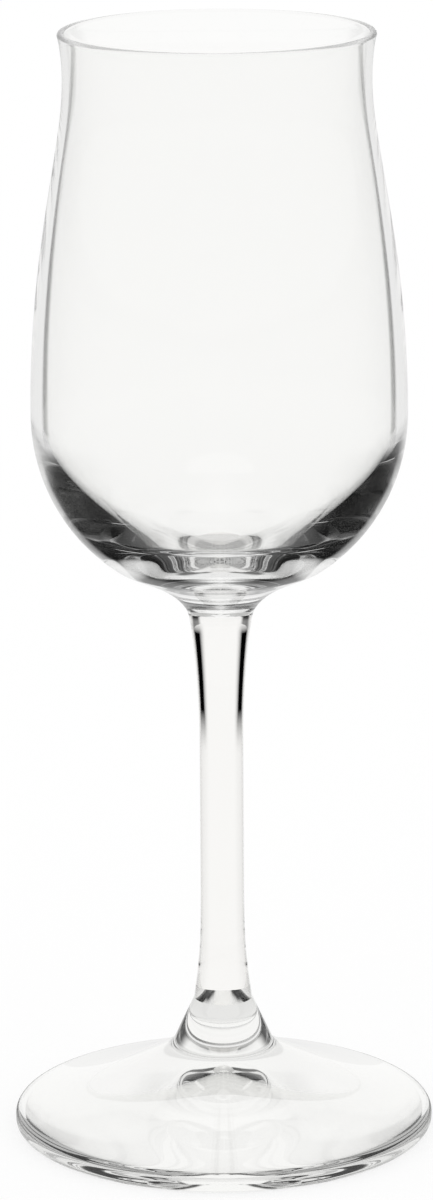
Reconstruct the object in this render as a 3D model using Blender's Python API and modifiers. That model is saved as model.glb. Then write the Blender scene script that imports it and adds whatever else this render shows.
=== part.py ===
"""Riesling glass of clear glass: a foot, a stem and a bowl, each turned about the same upright axis."""
import math

import bmesh
import bpy

# Sizes in metres; a width is measured right across the axis
TURN_STEPS = 48
JOINT_GAP = 0.0003

# Foot, from the surface that it stands on up to the top of its hub
FOOT_WIDTH = 0.068
FOOT_EDGE_HEIGHT = 0.0034
FOOT_EDGE_ROUNDING = 0.0014
RESTING_BAND = 0.0008
HOLLOW_HEIGHT = 0.0077
HUB_RING_WIDTH = 0.0190
HUB_RING_HEIGHT = 0.0129
HUB_BASE_WIDTH = 0.0156
HUB_BASE_HEIGHT = 0.0148
HUB_TOP_WIDTH = 0.0094
HUB_HEIGHT = 0.0215

# Stem, from the hub up to the bowl
STEM_LENGTH = 0.0644
STEM_WIDTH = 0.00705
STEM_TOP_WIDTH = 0.0108
STEM_TOP_TAPER = 0.0209
STEM_BOTTOM_TAPER = 0.0202

# Bowl, from its joint with the stem up to the rim
BOWL_HEIGHT = 0.0929
BELLY_WIDTH = 0.0597
BELLY_HEIGHT = 0.0320
NECK_HEIGHT = 0.0022
WAIST_WIDTH = 0.0484
WAIST_BELOW_RIM = 0.0077
RIM_WIDTH = 0.0498
RIM_WALL = 0.0011
BELLY_WALL = 0.00175
BASE_THICKNESS = 0.0081
CAVITY_CORNER_WIDTH = 0.0402
CAVITY_CORNER_HEIGHT = 0.0155
CAVITY_CORNER_ROUNDING = 0.0010

# Slopes in degrees: how far a surface leans from upright where two curves meet
LIP_FLARE = 14.0
NECK_FLARE = 28.0
HUB_FLARE = 8.0
BOWL_ARC = 55.0
HOLLOW_START = 1.5

# Slopes in degrees: how steeply the inside of the bowl rises below and above its corner
FLOOR_RISE = 30.5
SIDE_RISE = 48.0

# The foot's top falls more steeply at the hub, and less at the edge, by this share of its mean fall
FOOT_DISH = 0.32

# Pulls of each curve at its start and end, as shares of the distance between its ends
LIP_PULLS = (0.23, 0.47)
WALL_PULLS = (0.20, 0.50)
NECK_PULLS = (0.17, 0.35)
FLOOR_PULLS = (0.42, 0.46)
CORNER_PULLS = (0.33, 0.33)
SIDE_PULLS = (0.33, 0.36)
STEM_TOP_PULLS = (0.09, 0.35)
STEM_BOTTOM_PULLS = (0.40, 0.44)
HUB_PULLS = (0.45, 0.45)
FOOT_TOP_PULLS = (0.33, 0.33)
HOLLOW_PULLS = (0.22, 0.13)

# Headings in degrees in the profile's plane, with 0 pointing away from the axis
OUTWARD = 0.0
UP = 90.0
INWARD = 180.0
DOWN = -90.0

# How many points each kind of stretch has
LONG_STEPS = 11
SHORT_STEPS = 5
ROUND_STEPS = 4

GLASS_COLOUR = (0.95, 0.96, 0.95, 1.0)
GLASS_ROUGHNESS = 0.01
GLASS_INDEX = 1.52


def ahead(point, heading, distance):
    """The point that lies a distance away along a heading."""
    angle = math.radians(heading)
    return (point[0] + distance * math.cos(angle), point[1] + distance * math.sin(angle))


def heading_between(start, end):
    """Heading from one point to another."""
    return math.degrees(math.atan2(end[1] - start[1], end[0] - start[0]))


def curve(start, start_heading, end, end_heading, pulls, steps):
    """Points after the start of a smooth curve that leaves and arrives along two headings."""
    span = math.dist(start, end)
    leave = ahead(start, start_heading, pulls[0] * span)
    arrive = ahead(end, end_heading, -pulls[1] * span)
    points = []
    for step in range(1, steps + 1):
        t = step / steps
        weights = ((1 - t) ** 3, 3 * t * (1 - t) ** 2, 3 * t ** 2 * (1 - t), t ** 3)
        corners = zip(weights, (start, leave, arrive, end))
        terms = [(weight * x, weight * z) for weight, (x, z) in corners]
        points.append((sum(x for x, z in terms), sum(z for x, z in terms)))
    return points


def arc(centre, half_width, half_height, start, end, steps):
    """Points after the start of an elliptical arc between two angles in degrees."""
    points = []
    for step in range(1, steps + 1):
        angle = math.radians(start + (end - start) * step / steps)
        points.append((centre[0] + half_width * math.cos(angle), centre[1] + half_height * math.sin(angle)))
    return points


def foot_profile():
    """Hub, sloping top, rounded edge and hollow underside, from the top of the hub down."""
    rounding = min(FOOT_EDGE_ROUNDING, FOOT_EDGE_HEIGHT / 2)
    edge_centre = FOOT_WIDTH / 2 - rounding
    hub_top = (HUB_TOP_WIDTH / 2, HUB_HEIGHT)
    hub_base = (HUB_BASE_WIDTH / 2, HUB_BASE_HEIGHT)
    ring = (HUB_RING_WIDTH / 2, HUB_RING_HEIGHT)
    fall = heading_between(ring, (edge_centre, FOOT_EDGE_HEIGHT))
    fall_at_hub = fall * (1 + FOOT_DISH)
    fall_at_edge = fall * (1 - FOOT_DISH)
    edge = (edge_centre, FOOT_EDGE_HEIGHT - rounding)
    shoulder = ahead(edge, fall_at_edge + UP, rounding)
    resting = edge_centre - RESTING_BAND
    points = [(0.0, HUB_HEIGHT), hub_top, hub_base]
    hub_heading = heading_between(hub_top, hub_base)
    points += curve(hub_base, hub_heading, ring, fall_at_hub, HUB_PULLS, SHORT_STEPS)
    points += curve(ring, fall_at_hub, shoulder, fall_at_edge, FOOT_TOP_PULLS, LONG_STEPS)
    points += arc(edge, rounding, rounding, fall_at_edge + UP, OUTWARD, ROUND_STEPS)
    if FOOT_EDGE_HEIGHT > 2 * rounding:
        points.append((FOOT_WIDTH / 2, rounding))
    points += arc((edge_centre, rounding), rounding, rounding, OUTWARD, DOWN, ROUND_STEPS)
    points.append((resting, 0.0))
    points += curve((resting, 0.0), INWARD - HOLLOW_START, (0.0, HOLLOW_HEIGHT), INWARD, HOLLOW_PULLS, LONG_STEPS)
    return points


def stem_profile():
    """Rod that is flared at both ends, from its top face down to its bottom face."""
    top = (STEM_TOP_WIDTH / 2, STEM_LENGTH)
    taper_end = (STEM_WIDTH / 2, STEM_LENGTH - STEM_TOP_TAPER)
    taper_start = (STEM_WIDTH / 2, STEM_BOTTOM_TAPER)
    bottom = (HUB_TOP_WIDTH / 2, 0.0)
    points = [(0.0, STEM_LENGTH), top]
    points += curve(top, DOWN - NECK_FLARE, taper_end, DOWN, STEM_TOP_PULLS, LONG_STEPS)
    points.append(taper_start)
    points += curve(taper_start, DOWN, bottom, DOWN + HUB_FLARE, STEM_BOTTOM_PULLS, LONG_STEPS)
    points.append((0.0, 0.0))
    return points


def bowl_wall(belly_inset, waist_inset):
    """One side of the wall from the belly up to the start of the rounded rim, moved in towards the axis."""
    belly = (BELLY_WIDTH / 2 - belly_inset, BELLY_HEIGHT)
    waist = (WAIST_WIDTH / 2 - waist_inset, BOWL_HEIGHT - WAIST_BELOW_RIM)
    rim = (RIM_WIDTH / 2 - waist_inset, BOWL_HEIGHT - RIM_WALL / 2)
    points = [belly]
    points += curve(belly, UP, waist, UP, tuple(reversed(WALL_PULLS)), LONG_STEPS)
    points += curve(waist, UP, rim, UP - LIP_FLARE, tuple(reversed(LIP_PULLS)), SHORT_STEPS)
    return points


def bowl_profile():
    """Cavity, inner wall, rounded rim, outer wall and round bottom, from the cavity's floor to the joint."""
    cavity_floor = (0.0, BASE_THICKNESS)
    corner = (CAVITY_CORNER_WIDTH / 2, CAVITY_CORNER_HEIGHT)
    floor_end = ahead(corner, FLOOR_RISE, -CAVITY_CORNER_ROUNDING)
    side_start = ahead(corner, SIDE_RISE, CAVITY_CORNER_ROUNDING)
    inner = bowl_wall(BELLY_WALL, RIM_WALL)
    outer = bowl_wall(0.0, 0.0)
    rim_centre = (RIM_WIDTH / 2 - RIM_WALL / 2, BOWL_HEIGHT - RIM_WALL / 2)
    belly_centre = (0.0, BELLY_HEIGHT)
    bottom = arc(belly_centre, BELLY_WIDTH / 2, BELLY_HEIGHT - NECK_HEIGHT, OUTWARD, -BOWL_ARC, LONG_STEPS)
    joint = (STEM_TOP_WIDTH / 2, 0.0)
    points = [cavity_floor]
    points += curve(cavity_floor, OUTWARD, floor_end, FLOOR_RISE, FLOOR_PULLS, LONG_STEPS)
    points += curve(floor_end, FLOOR_RISE, side_start, SIDE_RISE, CORNER_PULLS, ROUND_STEPS)
    points += curve(side_start, SIDE_RISE, inner[0], UP, SIDE_PULLS, LONG_STEPS)
    points += inner[1:]
    points += arc(rim_centre, RIM_WALL / 2, RIM_WALL / 2, INWARD, OUTWARD, 2 * ROUND_STEPS)
    points += reversed(outer[:-1])
    points += bottom
    bottom_heading = heading_between(bottom[-2], bottom[-1])
    points += curve(bottom[-1], bottom_heading, joint, DOWN - NECK_FLARE, NECK_PULLS, LONG_STEPS)
    points.append((0.0, 0.0))
    return points


def glass_material(name):
    """Clear colourless glass."""
    material = bpy.data.materials.new(name)
    material.use_nodes = True
    shader = material.node_tree.nodes["Principled BSDF"]
    shader.inputs["Base Color"].default_value = GLASS_COLOUR
    shader.inputs["Metallic"].default_value = 0.0
    shader.inputs["Roughness"].default_value = GLASS_ROUGHNESS
    shader.inputs["IOR"].default_value = GLASS_INDEX
    shader.inputs["Transmission Weight"].default_value = 1.0
    return material


def turned_piece(name, profile, height, collection, parent):
    """Object made by turning a profile about its own upright axis, standing at a height."""
    mesh = bpy.data.meshes.new(name)
    outline = bmesh.new()
    corners = [outline.verts.new((x, 0.0, z)) for x, z in profile]
    for upper, lower in zip(corners, corners[1:]):
        outline.edges.new((upper, lower))
    outline.to_mesh(mesh)
    outline.free()
    mesh.materials.append(glass_material(name + "_glass"))
    piece = bpy.data.objects.new(name, mesh)
    piece.location = (0.0, 0.0, height)
    piece.parent = parent
    collection.objects.link(piece)
    screw = piece.modifiers.new("turn", "SCREW")
    screw.axis = "Z"
    screw.angle = math.tau
    screw.screw_offset = 0.0
    screw.steps = TURN_STEPS
    screw.render_steps = TURN_STEPS
    screw.use_merge_vertices = True
    screw.merge_threshold = 0.00001
    screw.use_smooth_shade = True
    return piece


def main():
    for item in list(bpy.data.objects):
        bpy.data.objects.remove(item)
    collection = bpy.data.collections.new("riesling_glass")
    bpy.context.scene.collection.children.link(collection)
    origin = bpy.data.objects.new("riesling_glass_origin", None)
    collection.objects.link(origin)
    stem_height = HUB_HEIGHT + JOINT_GAP
    bowl_height = stem_height + STEM_LENGTH + JOINT_GAP
    turned_piece("foot", foot_profile(), 0.0, collection, origin)
    turned_piece("stem", stem_profile(), stem_height, collection, origin)
    turned_piece("bowl", bowl_profile(), bowl_height, collection, origin)


main()
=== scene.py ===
"""Riesling glass dressed for its picture: three pieces of clear glass in a plain white studio."""
import math

import bmesh
import bpy
from mathutils import Matrix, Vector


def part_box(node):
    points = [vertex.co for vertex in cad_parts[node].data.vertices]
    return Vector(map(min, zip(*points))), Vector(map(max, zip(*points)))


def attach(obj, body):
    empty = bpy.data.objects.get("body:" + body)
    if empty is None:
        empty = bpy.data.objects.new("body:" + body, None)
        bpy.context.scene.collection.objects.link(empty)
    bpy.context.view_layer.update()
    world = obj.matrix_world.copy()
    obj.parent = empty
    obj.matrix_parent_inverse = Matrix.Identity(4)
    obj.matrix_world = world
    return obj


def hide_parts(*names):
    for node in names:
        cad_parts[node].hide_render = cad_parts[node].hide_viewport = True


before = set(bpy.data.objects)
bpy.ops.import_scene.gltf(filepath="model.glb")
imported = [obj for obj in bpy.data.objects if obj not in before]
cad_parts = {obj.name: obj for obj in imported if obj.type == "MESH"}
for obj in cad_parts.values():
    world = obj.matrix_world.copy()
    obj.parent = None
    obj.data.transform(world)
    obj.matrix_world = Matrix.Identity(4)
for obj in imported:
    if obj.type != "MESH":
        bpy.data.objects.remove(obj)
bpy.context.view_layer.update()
foot_low, foot_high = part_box("foot")
bowl_low, bowl_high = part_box("bowl")

# Main sizes in metres, taken from the frame; a width is measured right across the axis
FOOT_WIDTH = foot_high.x - foot_low.x
HUB_HEIGHT = foot_high.z
JOINT_HEIGHT = bowl_low.z
BELLY_WIDTH = bowl_high.x - bowl_low.x
RIM_HEIGHT = bowl_high.z

# Foot
FOOT_EDGE_HEIGHT = 0.0034
FOOT_EDGE_ROUNDING = 0.0014
RESTING_BAND = 0.0008
HOLLOW_HEIGHT = 0.0077
HUB_RING_WIDTH = 0.0190
HUB_RING_HEIGHT = 0.0129
HUB_BASE_WIDTH = 0.0156
HUB_BASE_HEIGHT = 0.0148
HUB_TOP_WIDTH = 0.0094

# Stem
STEM_WIDTH = 0.00705
STEM_TOP_WIDTH = 0.0108
STEM_TOP_TAPER = 0.0212
STEM_BOTTOM_TAPER = 0.0205

# Bowl
BELLY_ABOVE_JOINT = 0.0320
NECK_HEIGHT = 0.0022
WAIST_WIDTH = 0.0484
WAIST_BELOW_RIM = 0.0077
RIM_WIDTH = 0.0498
RIM_WALL = 0.0011
BELLY_WALL = 0.00175
BASE_THICKNESS = 0.0081
CAVITY_CORNER_WIDTH = 0.0402
CAVITY_CORNER_HEIGHT = 0.0155
CAVITY_CORNER_ROUNDING = 0.0010

# Slopes in degrees: how far a surface leans from upright where two curves meet
LIP_FLARE = 14.0
NECK_FLARE = 28.0
HUB_FLARE = 8.0

# Degrees through which the bowl's round bottom runs down from the belly, and at which the hollow under the
# foot begins to rise
BOWL_ARC = 55.0
HOLLOW_START = 1.5

# Slopes in degrees: how steeply the inside of the bowl rises below and above its corner
FLOOR_RISE = 30.5
SIDE_RISE = 48.0

# The foot's top falls more steeply at the hub, and less at the edge, by this share of its mean fall
FOOT_DISH = 0.32

# Pulls of each curve at its start and end, as shares of the distance between its ends
LIP_PULLS = (0.47, 0.23)
WALL_PULLS = (0.50, 0.20)
NECK_PULLS = (0.17, 0.35)
FLOOR_PULLS = (0.42, 0.46)
CORNER_PULLS = (0.33, 0.33)
SIDE_PULLS = (0.33, 0.36)
STEM_TOP_PULLS = (0.09, 0.35)
STEM_BOTTOM_PULLS = (0.40, 0.44)
HUB_PULLS = (0.45, 0.45)
FOOT_TOP_PULLS = (0.33, 0.33)
HOLLOW_PULLS = (0.22, 0.13)

# Headings in degrees in the profile's plane, with 0 pointing away from the axis
OUTWARD = 0.0
UP = 90.0
INWARD = 180.0
DOWN = -90.0

# How fine the turned meshes are
TURN_STEPS = 160
LONG_STEPS = 40
SHORT_STEPS = 16
ROUND_STEPS = 10

# Glass, and the place of the joint's material after it on each piece
GLASS_INDEX = 1.52
JOINT_SLOT = 1

# Finish of each piece: its colour, its waves to the metre across and up the axis, its least and most
# roughness, and the height of its waves. The blown bowl has long soft waves, the drawn stem has streaks
# along its length and the pressed foot has a finer grain. The stem and the foot are thicker, so they are a
# little deeper in colour
FINISHES = {
    "bowl": ((0.984, 0.984, 0.976, 1.0), (55.0, 40.0), (0.0, 0.006), 0.000016),
    "stem": ((0.953, 0.945, 0.928, 1.0), (260.0, 22.0), (0.0, 0.012), 0.000004),
    "foot": ((0.950, 0.949, 0.933, 1.0), (95.0, 95.0), (0.0, 0.010), 0.000006),
}

# Waves: how much finer detail they hold, and the part of their range over which the roughness changes
WAVE_DETAIL = 1.5
WAVE_RANGE = (0.3, 0.7)

# The stem's flared top has painted shade: its glass is painted dark towards its sides, in place of the dark
# edges that bent light gives. The painted colour, how far a surface faces away, from 0 to 1, where the
# painted dark fades in and out, and where it does so up the stem, as shares of the top taper below the joint
PAINTED_SHADE_COLOUR = (0.0, 0.0, 0.0, 1.0)
PAINTED_SHADE_FACING = (0.21, 0.38, 0.57, 0.77)
PAINTED_SHADE_HEIGHTS = (1.12, 0.76, 0.15, 0.04)

# Camera of the photograph
CAMERA_PLACE = (-0.000638, -0.80495, 0.29417)
CAMERA_DOWN = 14.363
CAMERA_ROLL = -0.389
CAMERA_LENS = 156.09
CAMERA_SENSOR = 36.0

# Studio: the floor and the room are white where they are seen directly, and so is the floor straight
# through the glass. Other light from the glass finds a room that is darker to the sides and in front, and
# flags on the floor
FLOOR_HALF = 4.0
STUDIO_COLOUR = (1.0, 1.0, 1.0, 1.0)
WHITE_LEVEL = 1.0
FLOOR_DIFFUSE_SHARE = 0.2

# Levels of the room by the height in degrees: the open room, and the sides and the front of the dark room,
# which light finds that is mirrored inside the glass
OVERHEAD = 90.0
OPEN_LEVELS = ((0.0, 0.76), (10.0, 0.72), (20.0, 0.64), (36.0, 0.58), (60.0, 0.62), (90.0, 0.70))
SIDE_LEVELS = ((0.0, 0.30), (4.0, 0.14), (8.0, 0.02), (14.0, 0.01), (32.0, 0.01), (40.0, 0.03), (60.0, 0.05))
FRONT_LEVELS = (
    (0.0, 0.70), (8.0, 0.66), (13.0, 0.48), (20.0, 0.36),
    (26.0, 0.36), (34.0, 0.60), (46.0, 0.56), (60.0, 0.14),
)

# Where the open room fades in, and where the dark room fades in, or in and out again, for light that is
# mirrored an odd or an even number of times inside the glass or deep inside it, in degrees to either side
# from straight behind it
OPEN_EDGE = (2.0, 45.0)
ODD_BAND = (28.0, 36.0, 47.0, 62.0)
ODD_EDGE = (76.0, 94.0)
EVEN_BAND = (20.0, 30.0, 46.0, 62.0)
DEEP_EDGE = (4.0, 24.0)

# Where the front of the dark room fades in, and by how many degrees sooner on the right and later on the
# left
FRONT_EDGE = (134.0, 168.0)
FRONT_SHIFT = 16.0

# Levels of the floor for mirrored light, for what also crosses more than one wall, and for what is mirrored
# deep inside the glass
MIRRORED_FLOOR = 0.84
CROSSED_FLOOR = 0.72
DEEP_FLOOR = 0.50

# Dark flags on the floor: where one fades in and out, in degrees to either side and in metres from the
# axis, and how many degrees it leans inwards with each metre. The first two are for light mirrored on the
# outside of the glass, three for light mirrored an odd number of times inside it, one for light mirrored
# deep inside it and the last for mirrored light that crosses more than one wall
FAR_FLAG = ((46.0, 49.0, 54.0, 58.0), (0.36, 0.50, 3.0, 4.0), 4.0)
NEAR_FLAG = ((28.0, 38.0, 82.0, 118.0), (0.020, 0.050, 0.26, 0.48), 0.0)
WALL_FLAG = ((46.5, 49.5, 53.0, 56.0), (0.36, 0.50, 0.9, 1.9), 10.8)
CLOSE_FLAG = ((12.0, 24.0, 46.0, 58.0), (0.036, 0.050, 0.18, 0.28), 0.0)
BACK_FLAG = ((112.0, 122.0, 140.0, 150.0), (0.010, 0.018, 0.034, 0.045), 0.0)
SIDE_FLAG = ((24.0, 34.0, 44.0, 64.0), (0.16, 0.34, 6.0, 7.0), 0.0)
MIDDLE_FLAG = ((-2.0, -1.0, 7.0, 11.0), (0.45, 0.55, 0.95, 1.30), 0.0)

# Levels of the flags
FLAG_LEVEL = 0.01
FAR_FLAG_LEVEL = 0.05
CLOSE_FLAG_LEVEL = 0.10
SIDE_FLAG_LEVEL = 0.03

# How often light may turn at the glass
LIGHT_TURNS = 200

# Kinds of light: half a turn, which tells two counts of turns apart, the passes into and out of one wall
# and of two, and the mirrored turns from which light counts as deep inside, and from which it is led along
# the wall
HALF_TURN = 0.5
ONE_WALL = 2.0
TWO_WALLS = 4.0
DEEP_TURNS = 6.0
LED_TURNS = 32.0


def ahead(point, heading, distance):
    """The point that lies a distance away along a heading."""
    angle = math.radians(heading)
    return (point[0] + distance * math.cos(angle), point[1] + distance * math.sin(angle))


def heading_between(start, end):
    """Heading from one point to another."""
    return math.degrees(math.atan2(end[1] - start[1], end[0] - start[0]))


def curve(start, start_heading, end, end_heading, pulls, steps):
    """Points after the start of a smooth curve that leaves and arrives along two headings."""
    span = math.dist(start, end)
    leave = ahead(start, start_heading, pulls[0] * span)
    arrive = ahead(end, end_heading, -pulls[1] * span)
    points = []
    for step in range(1, steps + 1):
        t = step / steps
        weights = ((1 - t) ** 3, 3 * t * (1 - t) ** 2, 3 * t ** 2 * (1 - t), t ** 3)
        corners = zip(weights, (start, leave, arrive, end))
        terms = [(weight * x, weight * z) for weight, (x, z) in corners]
        points.append((sum(x for x, z in terms), sum(z for x, z in terms)))
    return points


def arc(centre, half_width, half_height, start, end, steps):
    """Points after the start of an elliptical arc between two angles in degrees."""
    points = []
    for step in range(1, steps + 1):
        angle = math.radians(start + (end - start) * step / steps)
        points.append((centre[0] + half_width * math.cos(angle), centre[1] + half_height * math.sin(angle)))
    return points


def foot_profile():
    """Hub, sloping top, rounded edge and hollow underside, from the hub's joint down."""
    rounding = FOOT_EDGE_ROUNDING
    edge_centre = FOOT_WIDTH / 2 - rounding
    hub_top = (HUB_TOP_WIDTH / 2, HUB_HEIGHT)
    hub_base = (HUB_BASE_WIDTH / 2, HUB_BASE_HEIGHT)
    ring = (HUB_RING_WIDTH / 2, HUB_RING_HEIGHT)
    fall = heading_between(ring, (edge_centre, FOOT_EDGE_HEIGHT))
    fall_at_hub = fall * (1 + FOOT_DISH)
    fall_at_edge = fall * (1 - FOOT_DISH)
    edge = (edge_centre, FOOT_EDGE_HEIGHT - rounding)
    shoulder = ahead(edge, fall_at_edge + UP, rounding)
    resting = (edge_centre - RESTING_BAND, 0.0)
    top_of_hollow = (0.0, HOLLOW_HEIGHT)
    hub_heading = heading_between(hub_top, hub_base)
    points = [hub_top]
    points += curve(hub_top, hub_heading, hub_base, hub_heading, HUB_PULLS, SHORT_STEPS)
    points += curve(hub_base, hub_heading, ring, fall_at_hub, HUB_PULLS, SHORT_STEPS)
    points += curve(ring, fall_at_hub, shoulder, fall_at_edge, FOOT_TOP_PULLS, LONG_STEPS)
    points += arc(edge, rounding, rounding, fall_at_edge + UP, OUTWARD, ROUND_STEPS)
    points += arc((edge_centre, rounding), rounding, rounding, OUTWARD, DOWN, ROUND_STEPS)
    points.append(resting)
    points += curve(resting, INWARD - HOLLOW_START, top_of_hollow, INWARD, HOLLOW_PULLS, LONG_STEPS)
    return points


def stem_profile():
    """Rod that is flared at both ends, from the bowl's joint down to the hub's."""
    top = (STEM_TOP_WIDTH / 2, JOINT_HEIGHT)
    taper_end = (STEM_WIDTH / 2, JOINT_HEIGHT - STEM_TOP_TAPER)
    taper_start = (STEM_WIDTH / 2, HUB_HEIGHT + STEM_BOTTOM_TAPER)
    bottom = (HUB_TOP_WIDTH / 2, HUB_HEIGHT)
    points = [top]
    points += curve(top, DOWN - NECK_FLARE, taper_end, DOWN, STEM_TOP_PULLS, LONG_STEPS)
    points += curve(taper_end, DOWN, taper_start, DOWN, HUB_PULLS, SHORT_STEPS)
    points += curve(taper_start, DOWN, bottom, DOWN + HUB_FLARE, STEM_BOTTOM_PULLS, LONG_STEPS)
    return points


def bowl_wall(belly_inset, waist_inset):
    """One side of the wall from the belly up to the start of the rounded rim, moved in towards the axis."""
    belly = (BELLY_WIDTH / 2 - belly_inset, JOINT_HEIGHT + BELLY_ABOVE_JOINT)
    waist = (WAIST_WIDTH / 2 - waist_inset, RIM_HEIGHT - WAIST_BELOW_RIM)
    rim = (RIM_WIDTH / 2 - waist_inset, RIM_HEIGHT - RIM_WALL / 2)
    points = [belly]
    points += curve(belly, UP, waist, UP, WALL_PULLS, LONG_STEPS)
    points += curve(waist, UP, rim, UP - LIP_FLARE, LIP_PULLS, SHORT_STEPS)
    return points


def bowl_profile():
    """Cavity, inner wall, rounded rim, outer wall and round bottom, from the cavity's floor to the joint."""
    cavity_floor = (0.0, JOINT_HEIGHT + BASE_THICKNESS)
    corner = (CAVITY_CORNER_WIDTH / 2, JOINT_HEIGHT + CAVITY_CORNER_HEIGHT)
    floor_end = ahead(corner, FLOOR_RISE, -CAVITY_CORNER_ROUNDING)
    side_start = ahead(corner, SIDE_RISE, CAVITY_CORNER_ROUNDING)
    inner = bowl_wall(BELLY_WALL, RIM_WALL)
    outer = bowl_wall(0.0, 0.0)
    rim_centre = (RIM_WIDTH / 2 - RIM_WALL / 2, RIM_HEIGHT - RIM_WALL / 2)
    belly_centre = (0.0, JOINT_HEIGHT + BELLY_ABOVE_JOINT)
    belly_drop = BELLY_ABOVE_JOINT - NECK_HEIGHT
    bottom = arc(belly_centre, BELLY_WIDTH / 2, belly_drop, OUTWARD, -BOWL_ARC, LONG_STEPS)
    joint = (STEM_TOP_WIDTH / 2, JOINT_HEIGHT)
    points = [cavity_floor]
    points += curve(cavity_floor, OUTWARD, floor_end, FLOOR_RISE, FLOOR_PULLS, LONG_STEPS)
    points += curve(floor_end, FLOOR_RISE, side_start, SIDE_RISE, CORNER_PULLS, ROUND_STEPS)
    points += curve(side_start, SIDE_RISE, inner[0], UP, SIDE_PULLS, LONG_STEPS)
    points += inner[1:]
    points += arc(rim_centre, RIM_WALL / 2, RIM_WALL / 2, INWARD, OUTWARD, 2 * ROUND_STEPS)
    points += reversed(outer[:-1])
    points += bottom
    bottom_heading = heading_between(bottom[-2], bottom[-1])
    points += curve(bottom[-1], bottom_heading, joint, DOWN - NECK_FLARE, NECK_PULLS, LONG_STEPS)
    return points


class Graph:
    """Adds linked nodes to a node tree."""

    def __init__(self, tree):
        self.tree = tree
        tree.nodes.clear()

    def node(self, kind, **settings):
        """New node with some of its settings."""
        made = self.tree.nodes.new(kind)
        for name, value in settings.items():
            setattr(made, name, value)
        return made

    def feed(self, socket, value):
        """Links a socket to another one, or sets it to a value."""
        if isinstance(value, bpy.types.NodeSocket):
            self.tree.links.new(value, socket)
        else:
            socket.default_value = value

    def math(self, operation, *values):
        """Number worked out from others."""
        made = self.node("ShaderNodeMath", operation=operation)
        for socket, value in zip(made.inputs, values):
            self.feed(socket, value)
        return made.outputs[0]

    def spread(self, kind, *values):
        """Level that goes from start to end while a value goes from low to high."""
        made = self.node("ShaderNodeMapRange", interpolation_type=kind)
        for name, value in zip(("Value", "From Min", "From Max", "To Min", "To Max"), values):
            self.feed(made.inputs[name], value)
        return made.outputs[0]

    def slope(self, value, low, high, start=0.0, end=1.0):
        """Smooth change of level between two values."""
        return self.spread("SMOOTHSTEP", value, low, high, start, end)

    def mix(self, share, first, second):
        """Number between two others."""
        return self.spread("LINEAR", share, 0.0, 1.0, first, second)

    def parts(self, vector):
        """The three parts of a vector: across to the right, away to the back and up."""
        made = self.node("ShaderNodeSeparateXYZ")
        self.feed(made.inputs[0], vector)
        return made.outputs

    def heading(self, across, away):
        """Degrees away from +Y, to either side, and the length along the floor."""
        turn = self.math("ABSOLUTE", self.math("ARCTAN2", across, away))
        squares = [self.math("POWER", length, 2.0) for length in (across, away)]
        return self.math("DEGREES", turn), self.math("SQRT", self.math("ADD", *squares))

    def below(self, value, limit):
        """1 where a value stays under a limit."""
        return self.math("LESS_THAN", value, limit)

    def product(self, *values):
        """Product of two or more numbers."""
        total = values[0]
        for value in values[1:]:
            total = self.math("MULTIPLY", total, value)
        return total

    def rest(self, share):
        """What is left of 1."""
        return self.math("SUBTRACT", 1.0, share)

    def kinds(self):
        """1 for each kind of light that the glass mirrors, by where and how often it does."""
        path = self.node("ShaderNodeLightPath")
        passes = path.outputs["Transmission Depth"]
        mirrors = self.math("SUBTRACT", path.outputs["Ray Depth"], passes)
        mirrored = self.rest(self.below(mirrors, HALF_TURN))
        outside = self.below(passes, HALF_TURN)
        inside = self.rest(outside)
        one_wall = self.below(passes, ONE_WALL + HALF_TURN)
        two_walls = self.below(passes, TWO_WALLS + HALF_TURN)
        shallow = self.below(mirrors, DEEP_TURNS - HALF_TURN)
        not_led = self.below(mirrors, LED_TURNS - HALF_TURN)
        even = self.below(self.math("MODULO", mirrors, 2.0), HALF_TURN)
        few = self.product(mirrored, one_wall, inside, shallow)
        return {
            "mirrored": mirrored,
            "outside": self.product(mirrored, outside),
            "odd": self.product(few, self.rest(even)),
            "even": self.product(few, even),
            "deep": self.product(two_walls, inside, self.rest(shallow), not_led),
            "crossed": self.product(mirrored, self.rest(one_wall)),
        }

    def window(self, value, start_low, start_high, end_low, end_high):
        """1 between two soft edges."""
        rise = self.slope(value, start_low, start_high)
        return self.product(rise, self.slope(value, end_low, end_high, 1.0, 0.0))

    def flag(self, turn, reach, edges):
        """1 on a soft-edged patch of the floor on either side."""
        sides, reaches, lean = edges
        leaning = self.math("ADD", turn, self.product(reach, lean))
        return self.product(self.window(leaning, *sides), self.window(reach, *reaches))

    def levels(self, rise, steps):
        """Level by height in degrees."""
        ramp = self.node("ShaderNodeValToRGB")
        stops = ramp.color_ramp.elements
        while len(stops) < len(steps):
            stops.new(1.0)
        for stop, (angle, level) in zip(stops, steps):
            stop.position = angle / OVERHEAD
            stop.color = (level, level, level, 1.0)
        self.feed(ramp.inputs[0], self.math("DIVIDE", rise, OVERHEAD))
        return ramp.outputs[0]

    def plain(self):
        """1 for what the camera sees directly and for light that only brightens the floor."""
        path = self.node("ShaderNodeLightPath")
        return self.math("MAXIMUM", path.outputs["Is Camera Ray"], path.outputs["Is Diffuse Ray"])


def with_painted_edge_shade(graph, colour, height, painted_shade_span):
    """Colour of the glass with painted shade: it is painted dark on surfaces that face away, between the
    heights of a span.
    """
    facing = graph.node("ShaderNodeLayerWeight").outputs["Facing"]
    # Painted shade: share of black painted over the glass colour by facing and height
    share = graph.product(graph.window(facing, *PAINTED_SHADE_FACING), graph.window(height, *painted_shade_span))
    painted_shade_mix = graph.node("ShaderNodeMixRGB")
    for socket, value in zip(painted_shade_mix.inputs, (share, colour, PAINTED_SHADE_COLOUR)):
        graph.feed(socket, value)
    return painted_shade_mix.outputs[0]


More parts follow.
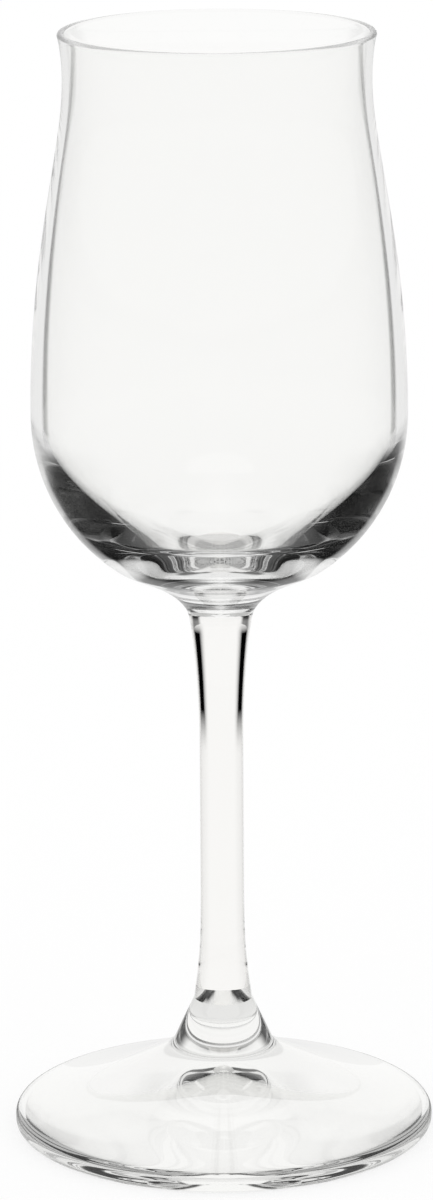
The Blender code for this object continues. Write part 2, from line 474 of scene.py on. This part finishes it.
def glass_material(name, finish, painted_shade_span):
    """Clear glass whose surface is a little wavy and unevenly polished, with painted shade on its sides if it
    has a span for it.
    """
    colour, waves, roughness, wave_height = finish
    waves_across, waves_up = waves
    material = bpy.data.materials.new(name)
    material.use_nodes = True
    graph = Graph(material.node_tree)
    output = graph.node("ShaderNodeOutputMaterial")
    shader = graph.node("ShaderNodeBsdfPrincipled")
    shader.inputs["Base Color"].default_value = colour
    shader.inputs["IOR"].default_value = GLASS_INDEX
    shader.inputs["Transmission Weight"].default_value = 1.0
    place = graph.node("ShaderNodeTexCoord").outputs["Object"]
    # Painted shade: the base colour is painted dark on sides that face away, within the span
    if painted_shade_span:
        height = graph.parts(place)[2]
        graph.feed(shader.inputs["Base Color"], with_painted_edge_shade(graph, colour, height, painted_shade_span))
    stretch = graph.node("ShaderNodeMapping")
    stretch.inputs["Scale"].default_value = (waves_across, waves_across, waves_up)
    graph.feed(stretch.inputs["Vector"], place)
    noise = graph.node("ShaderNodeTexNoise")
    noise.inputs["Scale"].default_value = 1.0
    noise.inputs["Detail"].default_value = WAVE_DETAIL
    graph.feed(noise.inputs["Vector"], stretch.outputs[0])
    bump = graph.node("ShaderNodeBump")
    bump.inputs["Distance"].default_value = wave_height
    graph.feed(bump.inputs["Height"], noise.outputs[0])
    graph.feed(shader.inputs["Roughness"], graph.slope(noise.outputs[0], *WAVE_RANGE, *roughness))
    graph.feed(shader.inputs["Normal"], bump.outputs[0])
    graph.feed(output.inputs["Surface"], shader.outputs[0])
    return material


def joint_material(name):
    """Melted joint, which light passes as if it weren't there."""
    material = bpy.data.materials.new(name)
    material.use_nodes = True
    graph = Graph(material.node_tree)
    output = graph.node("ShaderNodeOutputMaterial")
    shader = graph.node("ShaderNodeBsdfTransparent")
    graph.feed(output.inputs["Surface"], shader.outputs[0])
    return material


def turned_ring(shape, radius, height):
    """Corners of one ring about the upright axis, or a single one on the axis."""
    if radius == 0.0:
        return [shape.verts.new((0.0, 0.0, height))]
    ring = []
    for step in range(TURN_STEPS):
        turn = math.tau * step / TURN_STEPS
        ring.append(shape.verts.new((radius * math.cos(turn), radius * math.sin(turn), height)))
    return ring


def turned_mesh(name, profile):
    """Closed mesh made by turning a profile about the upright axis, with a flat cap at each open end."""
    shape = bmesh.new()
    rings = [turned_ring(shape, radius, height) for radius, height in profile]
    for upper, lower in zip(rings, rings[1:]):
        for step in range(TURN_STEPS):
            after = (step + 1) % TURN_STEPS
            corners = [lower[step % len(lower)], lower[after % len(lower)]]
            corners += [upper[after % len(upper)], upper[step % len(upper)]]
            shape.faces.new(list(dict.fromkeys(corners))).smooth = True
    for ring in (rings[0], rings[-1]):
        if len(ring) > 1:
            cap = shape.faces.new(ring)
            cap.material_index = JOINT_SLOT
            for edge in cap.edges:
                edge.smooth = False
    bmesh.ops.recalc_face_normals(shape, faces=shape.faces)
    mesh = bpy.data.meshes.new(name)
    shape.to_mesh(mesh)
    shape.free()
    return mesh


def add_piece(node, profile, painted_shade_span=None):
    """Turned piece of glass that stands for a node of the frame, with painted shade on its sides if it has a
    span for it.
    """
    name = node + "_clear"
    mesh = turned_mesh(name, profile)
    mesh.materials.append(glass_material(name, FINISHES[node], painted_shade_span))
    mesh.materials.append(joint_material(name + "_joint"))
    piece = bpy.data.objects.new(name, mesh)
    bpy.context.scene.collection.objects.link(piece)
    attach(piece, "root")
    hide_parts(node)


def add_camera():
    """Camera at the photograph's place, looking along +Y and a little down."""
    data = bpy.data.cameras.new("camera")
    data.sensor_width = CAMERA_SENSOR
    data.lens = CAMERA_LENS
    camera = bpy.data.objects.new("camera", data)
    tilt = Matrix.Rotation(math.radians(UP - CAMERA_DOWN), 4, "X")
    roll = Matrix.Rotation(math.radians(CAMERA_ROLL), 4, "Z")
    camera.matrix_world = Matrix.Translation(CAMERA_PLACE) @ tilt @ roll
    bpy.context.scene.collection.objects.link(camera)
    bpy.context.scene.camera = camera


def floor_level(graph):
    """Level of the floor: white, or darker for mirrored light, with its flags."""
    across, away = graph.parts(graph.node("ShaderNodeNewGeometry").outputs["Position"])[:2]
    turn, reach = graph.heading(across, away)
    kinds = graph.kinds()
    flags = (
        ("outside", FAR_FLAG, FAR_FLAG_LEVEL),
        ("outside", NEAR_FLAG, FLAG_LEVEL),
        ("odd", WALL_FLAG, FLAG_LEVEL),
        ("odd", CLOSE_FLAG, CLOSE_FLAG_LEVEL),
        ("odd", BACK_FLAG, FLAG_LEVEL),
        ("deep", SIDE_FLAG, SIDE_FLAG_LEVEL),
        ("crossed", MIDDLE_FLAG, FLAG_LEVEL),
    )
    level = graph.mix(kinds["mirrored"], WHITE_LEVEL, MIRRORED_FLOOR)
    level = graph.mix(kinds["crossed"], level, CROSSED_FLOOR)
    level = graph.mix(kinds["deep"], level, DEEP_FLOOR)
    for kind, edges, dark in flags:
        level = graph.mix(graph.product(kinds[kind], graph.flag(turn, reach, edges)), level, dark)
    return graph.mix(graph.plain(), level, WHITE_LEVEL)


def floor_material():
    """Pale floor that glows, and keeps a share of its shading, and so the shadow of the glass."""
    material = bpy.data.materials.new("floor")
    material.use_nodes = True
    graph = Graph(material.node_tree)
    glow = graph.node("ShaderNodeEmission")
    glow.inputs["Color"].default_value = STUDIO_COLOUR
    graph.feed(glow.inputs["Strength"], floor_level(graph))
    matt = graph.node("ShaderNodeBsdfDiffuse")
    matt.inputs["Color"].default_value = STUDIO_COLOUR
    both = graph.node("ShaderNodeMixShader")
    camera_ray = graph.node("ShaderNodeLightPath").outputs["Is Camera Ray"]
    graph.feed(both.inputs["Fac"], graph.product(camera_ray, FLOOR_DIFFUSE_SHARE))
    graph.feed(both.inputs[1], glow.outputs[0])
    graph.feed(both.inputs[2], matt.outputs[0])
    output = graph.node("ShaderNodeOutputMaterial")
    graph.feed(output.inputs["Surface"], both.outputs[0])
    return material


def add_floor():
    """Wide pale floor under the glass."""
    corners = [(-1, -1), (1, -1), (1, 1), (-1, 1)]
    places = [(x * FLOOR_HALF, y * FLOOR_HALF, 0.0) for x, y in corners]
    data = bpy.data.meshes.new("floor")
    data.from_pydata(places, [], [range(len(places))])
    data.materials.append(floor_material())
    floor = bpy.data.objects.new("floor", data)
    bpy.context.scene.collection.objects.link(floor)


def room_level(graph):
    """Level of the room: white where it is seen directly, and otherwise that of the open or the dark room."""
    across, away, height = graph.parts(graph.node("ShaderNodeTexCoord").outputs["Generated"])
    turn, reach = graph.heading(across, away)
    rise = graph.math("DEGREES", graph.math("ARCTAN2", height, reach))
    kinds = graph.kinds()
    shifted = graph.math("ADD", turn, graph.product(graph.math("SIGN", across), FRONT_SHIFT))
    front = graph.slope(shifted, *FRONT_EDGE)
    dark = graph.mix(front, graph.levels(rise, SIDE_LEVELS), graph.levels(rise, FRONT_LEVELS))
    shares = {
        "odd": graph.math("MAXIMUM", graph.window(turn, *ODD_BAND), graph.slope(turn, *ODD_EDGE)),
        "even": graph.window(turn, *EVEN_BAND),
        "deep": graph.slope(turn, *DEEP_EDGE),
    }
    level = graph.mix(graph.slope(turn, *OPEN_EDGE), WHITE_LEVEL, graph.levels(rise, OPEN_LEVELS))
    for kind, share in shares.items():
        level = graph.mix(kinds[kind], level, graph.mix(share, WHITE_LEVEL, dark))
    return graph.mix(graph.plain(), level, WHITE_LEVEL)


def add_surround():
    """Room round the glass. Its level depends on the path of the light, so it isn't sampled as a lamp."""
    world = bpy.data.worlds.new("studio")
    world.use_nodes = True
    world.cycles.sampling_method = "NONE"
    graph = Graph(world.node_tree)
    light = graph.node("ShaderNodeBackground")
    light.inputs["Color"].default_value = STUDIO_COLOUR
    graph.feed(light.inputs["Strength"], room_level(graph))
    output = graph.node("ShaderNodeOutputWorld")
    graph.feed(output.inputs["Surface"], light.outputs[0])
    bpy.context.scene.world = world


add_camera()
add_surround()
add_floor()
add_piece("bowl", bowl_profile())
# The stem gets painted shade on the sides of its flared top
add_piece("stem", stem_profile(), [JOINT_HEIGHT - share * STEM_TOP_TAPER for share in PAINTED_SHADE_HEIGHTS])
add_piece("foot", foot_profile())

scene = bpy.context.scene
scene.view_settings.view_transform = "Standard"
scene.cycles.max_bounces = LIGHT_TURNS
scene.cycles.transmission_bounces = LIGHT_TURNS
scene.cycles.glossy_bounces = LIGHT_TURNS
scene.cycles.transparent_max_bounces = LIGHT_TURNS

bpy.context.view_layer.update()
